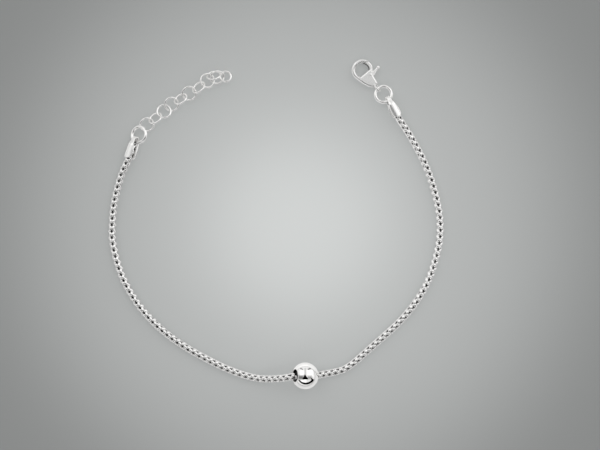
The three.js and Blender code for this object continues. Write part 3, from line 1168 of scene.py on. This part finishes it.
@dataclass
class Clasp:
    """A cast lobster clasp: hoop, domed body with a slot, tail eye, sprung lever and rivet."""

    azimuth: float = 40.0
    rivet: Spot = (0.75, -2.0)
    thickness: float = 1.6
    hoop_thickness: float = 1.12
    hoop_radius: float = 2.42
    hole_radius: float = 1.6
    hole_floor: float = -0.9
    tail_end: float = -4.55
    tail_half_width: float = 0.72
    dome: float = 0.40
    gap: float = 0.05
    lever_thickness: float = 0.7
    lever_reach: float = 3.05
    hub_radius: float = 0.8
    gate_inner: float = 1.62
    gate_outer: float = 2.36
    gate_slope: float = 0.22
    slot_mouth: tuple[Spot, ...] = ((-0.35, -2.1), (0.6, -2.85), (4, -2.85), (4, -0.5), (-0.35, -0.5))
    gate_wedge: tuple[Spot, ...] = ((0, 0), (2.7, -3.0), (6, 0), (2.4, 4.1))
    cheek: tuple[Spot, ...] = ((0.05, -2.1), (0.3, -1.1), (1.15, -1.0), (1.75, -1.0), (1.5, -2.1))
    thumb: tuple[Spot, ...] = ((0.9, -2.6), (1.6, -2.62), (3.1, -2.02), (3.2, -1.62), (1.5, -1.72))
    thumb_tip: Triple = (3.14, -1.8, 0.26)
    eye: tuple[float, float, float, float, float] = (-5.25, 1.05, 0.82, 0.46, 72.0)
    edge_round: float = 0.05
    eye_fillet: float = 0.25
    lever_fillet: float = 0.15
    thumb_fillet: float = 0.08
    lever_round: float = 0.14
    knob_radius: float = 0.34
    # Width of the band of painted shade along the gate's inner edge.
    shade_width: float = 0.08
    rivet_radius: float = 0.28
    rivet_turns: int = 40
    rivet_head: float = 0.09
    rivet_foot: float = 0.05
    step: float = 0.06

    def place(self, joint: Mapping[str, Any]) -> Place:
        """Finds the clasp's frame from its lever's hinge."""
        angle = math.radians(self.azimuth)
        turn = np.array([[math.cos(angle), -math.sin(angle), 0.0],
                         [math.sin(angle), math.cos(angle), 0.0], [0.0, 0.0, 1.0]])
        pivot = np.array([joint["pos_m"][0], joint["pos_m"][1], 0.0])
        return Place(pivot - turn @ (np.array([*self.rivet, 0.0]) * MM), turn)

    def outline(self) -> list[Spot]:
        """The body's outline with the hoop, from the tail up the right side and down the left."""
        start = (self.tail_half_width, self.tail_end)
        right = bezier(start, (1.05, -3.4), (0.9, -2.6), (1.35, -2.0))
        hoop = arc(0, 0, self.hoop_radius, -22, 200, 60)
        shoulder = bezier(right[-1], (1.65, -1.6), hoop[0])
        left = bezier(hoop[-1], (-2.02, -2.3), (-1.6, -3.7), (-self.tail_half_width, self.tail_end))
        return [start, *right, *shoulder, *hoop[1:], *left]

    def hole(self) -> list[Spot]:
        """The hoop's hole: round, with a straight floor."""
        corner = math.degrees(math.asin(self.hole_floor / self.hole_radius))
        return arc(0, 0, self.hole_radius, corner, 180 - corner, 60)

    def disc(self, x: Points, y: Points, radius: float) -> Points:
        """Distance to a disc round the rivet."""
        return np.hypot(x - self.rivet[0], y - self.rivet[1]) - radius

    def body_field(self, x: Points, y: Points, z: Points) -> Points:
        """Signed distance to the cast body."""
        flat = polygon_field(x, y, self.outline())
        flat = both(flat, -polygon_field(x, y, self.hole()), self.edge_round)
        towards_hoop = np.clip((y + 1.6) / 3.0, 0, 1)
        half = (self.thickness - (self.thickness - self.hoop_thickness) * towards_hoop) / 2
        solid = both(flat, abs(z - self.thickness / 2) - half, self.dome)
        solid = either(solid, self.eye_field(x, y, z), self.eye_fillet)
        level = abs(z - self.thickness / 2) - self.lever_thickness / 2 - self.gap
        mouth = polygon_field(x, y, self.slot_mouth)
        slot = np.minimum(self.disc(x, y, self.hub_radius + 2 * self.gap), mouth)
        solid = without(solid, np.maximum(slot, level), self.edge_round)
        side = polygon_field(x, y, [(0.4, self.hole_floor), (4, self.hole_floor), (4, 3), (0.4, 3)])
        gate = np.maximum(side, self.disc(x, y, self.lever_reach + self.gap))
        return without(solid, gate, self.edge_round)

    def eye_field(self, x: Points, y: Points, z: Points) -> Points:
        """Signed distance to the tail's eye, a wire ring that stands nearly on edge."""
        at, height, radius, wire, roll = self.eye
        angle = math.radians(roll)
        up, out = z - height, y - at
        across = x * math.cos(angle) - up * math.sin(angle)
        through = x * math.sin(angle) + up * math.cos(angle)
        return np.hypot(np.hypot(across, out) - radius, through) - wire / 2

    def lever_field(self, x: Points, y: Points, z: Points) -> Points:
        """Signed distance to the lever: gate, hub and thumb piece."""
        ring = np.hypot(x, y)
        depth = np.clip((self.thickness + self.lever_thickness) / 2 - z, 0, self.lever_thickness)
        inner = self.gate_inner - self.gate_slope * depth / self.lever_thickness
        gate = np.maximum(ring - self.gate_outer, inner - ring)
        wedge = polygon_field(x, y, self.gate_wedge)
        gate = np.maximum(np.maximum(gate, wedge), self.disc(x, y, self.lever_reach))
        cheek = polygon_field(x, y, self.cheek)
        flat = either(gate, np.minimum(cheek, self.disc(x, y, self.hub_radius)), self.lever_fillet)
        tip_x, tip_y, tip_radius = self.thumb_tip
        flat = either(flat, polygon_field(x, y, self.thumb), self.thumb_fillet)
        flat = either(flat, np.hypot(x - tip_x, y - tip_y) - tip_radius, self.thumb_fillet)
        level = abs(z - self.thickness / 2) - self.lever_thickness / 2
        blade = both(flat, level, self.lever_round)
        off = (x - tip_x) ** 2 + (y - tip_y) ** 2 + (z - self.thickness / 2) ** 2
        return either(blade, np.sqrt(off) - self.knob_radius, self.lever_fillet)

    def build_body(self, place: Place, material: bpy.types.Material) -> None:
        """Builds the cast body."""
        low, high = (-2.5, -6.4, -0.05), (2.5, 2.5, 2.15)
        points, quads = Casting(self.body_field, low, high, self.step).mesh()
        piece = closed_piece("cast_clasp_body", place.put(points), quads, material)
        settle(piece, ROOT_BODY, Slot.POLISHED, "clasp_body")

    def build_lever(self, place: Place, material: bpy.types.Material) -> None:
        """Builds the lever, which swings."""
        low, high = (-0.2, -2.9, 0.3), (3.6, 1.4, 1.3)
        points, quads = Casting(self.lever_field, low, high, self.step).mesh()
        piece = closed_piece("gate_lever", place.put(points), quads, material)
        # Painted shade: a band along the gate's inner edge, above the hole's floor, is marked to be near
        # black.
        ring = np.hypot(points[:, 0], points[:, 1])
        painted_shade = np.clip((self.gate_inner + self.shade_width / 2 - ring) / self.shade_width, 0, 1)
        store(piece.data, PAINTED_SHADE, painted_shade * (points[:, 1] > self.hole_floor))
        settle(piece, LEVER_BODY, Slot.POLISHED, "clasp_lever")

    def build_rivet(self, place: Place, material: bpy.types.Material) -> None:
        """Builds the rivet, with its two low domed heads."""
        turns = self.rivet_turns
        low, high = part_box("clasp_rivet")
        length = (high.z - low.z) / MM
        profile = [(0.0, length)]
        profile += [(self.rivet_radius * math.sin(a), length - self.rivet_head * (1 - math.cos(a)))
                    for a in np.linspace(0, math.pi / 2, 7)[1:]]
        profile += [(self.rivet_radius * math.cos(a), self.rivet_foot * (1 - math.sin(a)))
                    for a in np.linspace(0, math.pi / 2, 5)[:-1]]
        points = [(*self.rivet, profile[0][1])]
        for radius, height in profile[1:]:
            points += [(self.rivet[0] + radius * math.cos(t), self.rivet[1] + radius * math.sin(t), height)
                       for t in np.linspace(0, TAU, turns, endpoint=False)]
        points.append((*self.rivet, 0.0))
        faces: list[tuple[int, ...]] = [(0, 1 + i, 1 + (i + 1) % turns) for i in range(turns)]
        for row in range(len(profile) - 2):
            a, b = 1 + row * turns, 1 + (row + 1) * turns
            faces += [(a + i, b + i, b + (i + 1) % turns, a + (i + 1) % turns) for i in range(turns)]
        last, base = len(points) - 1, len(points) - 1 - turns
        faces += [(last, base + (i + 1) % turns, base + i) for i in range(turns)]
        piece = closed_piece("domed_rivet", place.put(np.array(points)), faces, material)
        settle(piece, ROOT_BODY, Slot.POLISHED, "clasp_rivet")


# ---------------------------------------------------------------------------- studio


@dataclass
class Studio:
    """Plain pale floor, a white light tent with its openings, and the camera straight above."""

    width_seen: float = 135.6
    offset: Spot = (5.42, -0.27)
    height: float = 620.0
    floor_radius: float = 2500.0
    lamp_height: float = 620.0
    lamp_radius: float = 12.0
    lamps: tuple[Spot, ...] = ((30.0, 7.0), (80.0, 11.2))
    white: float = 0.90
    shade_height: float = 250.0
    shade_corners: tuple[Spot, ...] = ((-6.0, 40.0), (-122.0, -165.0), (146.0, -167.0))

    def camera(self) -> None:
        """Puts the camera straight above the bracelet."""
        data = bpy.data.cameras.new("camera")
        data.sensor_width = 36.0
        data.lens = data.sensor_width * self.height / self.width_seen
        data.clip_start, data.clip_end = 0.01, 20.0
        made = add_object("camera", data)
        made.location = (self.offset[0] * MM, self.offset[1] * MM, self.height * MM)
        bpy.context.scene.camera = made
        bpy.context.scene.view_settings.view_transform = "Standard"

    def floor(self) -> None:
        """Lays the floor under the bracelet."""
        rim = [(self.floor_radius * MM * math.cos(a), self.floor_radius * MM * math.sin(a), 0.0)
               for a in np.linspace(0, TAU, 96, endpoint=False)]
        made = new_piece("floor", np.array(rim), [tuple(range(len(rim)))], FloorFinish().make())

    def pools(self) -> None:
        """Hangs soft spot lamps straight above, for the pool of light on the floor."""
        for radius, energy in self.lamps:
            data = bpy.data.lights.new("overhead", "SPOT")
            data.energy = energy
            data.spot_size = 2 * math.atan(radius / self.lamp_height)
            data.spot_blend = 1.0
            data.shadow_soft_size = self.lamp_radius * MM
            made = add_object("overhead", data)
            made.location = (self.offset[0] * MM, self.offset[1] * MM, self.lamp_height * MM)
            made.visible_glossy = False
            made.visible_camera = False

    def shade(self) -> None:
        """Hangs the black flap under the camera, which shows only in reflections."""
        corners = np.array([(x * MM, y * MM, self.shade_height * MM) for x, y in self.shade_corners])
        made = new_piece("shade_flap", corners, [(0, 1, 2)], ClothFinish().make())
        made.visible_camera = made.visible_diffuse = made.visible_shadow = False

    def tent(self) -> None:
        """Lights the scene from a white tent, drawn as a ball under it would show it."""
        world = bpy.data.worlds.new("light_tent")
        bpy.context.scene.world = world
        world.use_nodes = True
        sheet = Sheet(world.node_tree)
        way = sheet.node("ShaderNodeSeparateXYZ", None,
                         {0: sheet.node("ShaderNodeTexCoord").outputs["Generated"]})
        x, y, z = (Value(sheet, way.outputs[n]) for n in range(3))
        reach = (2.0 + 2.0 * z).most(0.001).math("SQRT")
        u, v = x / reach, y / reach
        level = self.walls(u, v) * (1 - self.openings(u, v))
        background = sheet.node("ShaderNodeBackground", None, {"Color": (1, 1, 1, 1), "Strength": level})
        sheet.end("ShaderNodeOutputWorld", background)

    def walls(self, u: Value, v: Value) -> Value:
        """The tent's walls and its brighter panels.

        Args:
            u: Where the direction shows on a ball, from left to right.
            v: The same, from the front to the back.

        Returns:
            How bright it is.
        """
        right = panel(u, v, (0.10, 0.60), (-0.04, 0.46), 0.08)
        left = panel(u, v, (-0.40, -0.08), (0.0, 0.42), 0.10)
        front = panel(u, v, (-0.32, 0.08), (-0.50, -0.24), 0.06)
        return self.white * (1 + 0.35 * right.most(left) + 0.4 * front)

    def openings(self, u: Value, v: Value) -> Value:
        """The tent's dark openings: the gap in front and the back corners.

        Args:
            u: Where the direction shows on a ball, from left to right.
            v: The same, from the front to the back.

        Returns:
            How dark it is, from 0 to 1.
        """
        gap = circle(u, v, (0.06, 0.03), 0.665, 0.03).least(1 - circle(u, v, (0.02, 0.12), 0.60, 0.03))
        gap = gap.least(1 - v.above(-0.28, 0.06))
        gap = gap.most(triangle(u, v, ((0.39, -0.06), (0.67, -0.30), (0.50, -0.50)), 0.03))
        shade = 0.78 * panel(u, v, (-0.54, -0.12), (-0.26, 0.06), 0.18)
        shade = shade.most(0.58 * panel(u, v, (0.16, 0.50), (-0.24, 0.04), 0.16))
        shade = shade.most(0.25 * panel(u, v, (-0.07, 0.07), (0.0, 0.60), 0.06))
        corners = 0.75 * stroke(u, v, (-0.41, 0.60), (-0.18, 0.50), 0.035).most(
            stroke(u, v, (0.20, 0.50), (0.50, 0.62), 0.05))
        return gap.most(shade).most(corners)


def panel(
    u: Value, v: Value, across: Spot, along: Spot, soft: float
) -> Value:
    """A soft-edged rectangle.

    Args:
        u: First coordinate.
        v: Second coordinate.
        across: Where it lies along the first.
        along: Where it lies along the second.
        soft: How wide its edge is.

    Returns:
        1 inside and 0 outside.
    """
    first = u.above(across[0], soft).least(1 - u.above(across[1], soft))
    second = v.above(along[0], soft).least(1 - v.above(along[1], soft))
    return first.least(second)


def circle(u: Value, v: Value, centre: Spot, radius: float, soft: float) -> Value:
    """A soft-edged disc: 1 inside and 0 outside."""
    across, along = u - centre[0], v - centre[1]
    return 1 - (across * across + along * along).math("SQRT").above(radius, soft)


def triangle(u: Value, v: Value, corners: Sequence[Spot], soft: float) -> Value:
    """A soft-edged triangle.

    Args:
        u: First coordinate.
        v: Second coordinate.
        corners: Its three corners.
        soft: How wide its edge is.

    Returns:
        1 inside and 0 outside.
    """
    middle = (sum(p[0] for p in corners) / 3, sum(p[1] for p in corners) / 3)
    inside = None
    for (ax, ay), (bx, by) in zip(corners, [*corners[1:], corners[0]]):
        length = math.hypot(bx - ax, by - ay)
        across = ((by - ay) / length, (ax - bx) / length)
        if (middle[0] - ax) * across[0] + (middle[1] - ay) * across[1] < 0:
            across = (-across[0], -across[1])
        side = ((u - ax) * across[0] + (v - ay) * across[1]).above(0.0, soft)
        inside = side if inside is None else inside.least(side)
    return inside


def stroke(
    u: Value, v: Value, start: Spot, end: Spot, half_width: float
) -> Value:
    """A soft-edged straight stroke.

    Args:
        u: First coordinate.
        v: Second coordinate.
        start: One end.
        end: The other end.
        half_width: Half its width.

    Returns:
        1 on the stroke and 0 off it.
    """
    length = math.hypot(end[0] - start[0], end[1] - start[1])
    way = ((end[0] - start[0]) / length, (end[1] - start[1]) / length)
    along = (u - start[0]) * way[0] + (v - start[1]) * way[1]
    off = abs((u - start[0]) * way[1] - (v - start[1]) * way[0])
    inside = along.above(0, 0.05).least(1 - along.above(length, 0.05))
    return inside.least(1 - off.above(half_width, 0.03))


# ---------------------------------------------------------------------------- bracelet


def main() -> None:
    """Builds the bracelet and its studio."""
    logging.basicConfig(level=logging.INFO, format="%(name)s: %(message)s")
    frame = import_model()
    nodes = frame["nodes"]

    studio = Studio()
    studio.camera()
    studio.floor()
    studio.pools()
    studio.shade()
    studio.tent()

    polished = SilverFinish("polished_silver").make()
    linked = SilverFinish("link_silver", paints_shade=True, roughness=0.08).make()
    satin = SilverFinish("satin_silver", roughness=0.26, roughness_spread=0.12).make()
    # The clasp body's silver is painted darker than the polished silver: painted shade.
    cast = SilverFinish("shaded_cast_silver", silver=(0.86, 0.86, 0.85), handled=(0.78, 0.78, 0.77),
                        roughness=0.20, roughness_spread=0.12).make()
    gate = SilverFinish("gate_silver", paints_shade=True, roughness=0.14, roughness_spread=0.12).make()
    # Near-black inner wall of the ball: painted shade inside its hollow.
    inside = SilverFinish("shaded_inside", silver=(0.05, 0.05, 0.05), handled=(0.03, 0.03, 0.03),
                          roughness=0.45).make()

    Chain().build(nodes, linked)
    Ball().build(nodes, polished, inside)
    Rings().build(nodes, polished)
    for side in ("left", "right"):
        EndCap().build(nodes, side, satin)
    clasp = Clasp()
    place = clasp.place(frame["joints"][0])
    clasp.build_body(place, cast)
    clasp.build_lever(place, gate)
    clasp.build_rivet(place, polished)


if __name__ == "__main__":
    main()
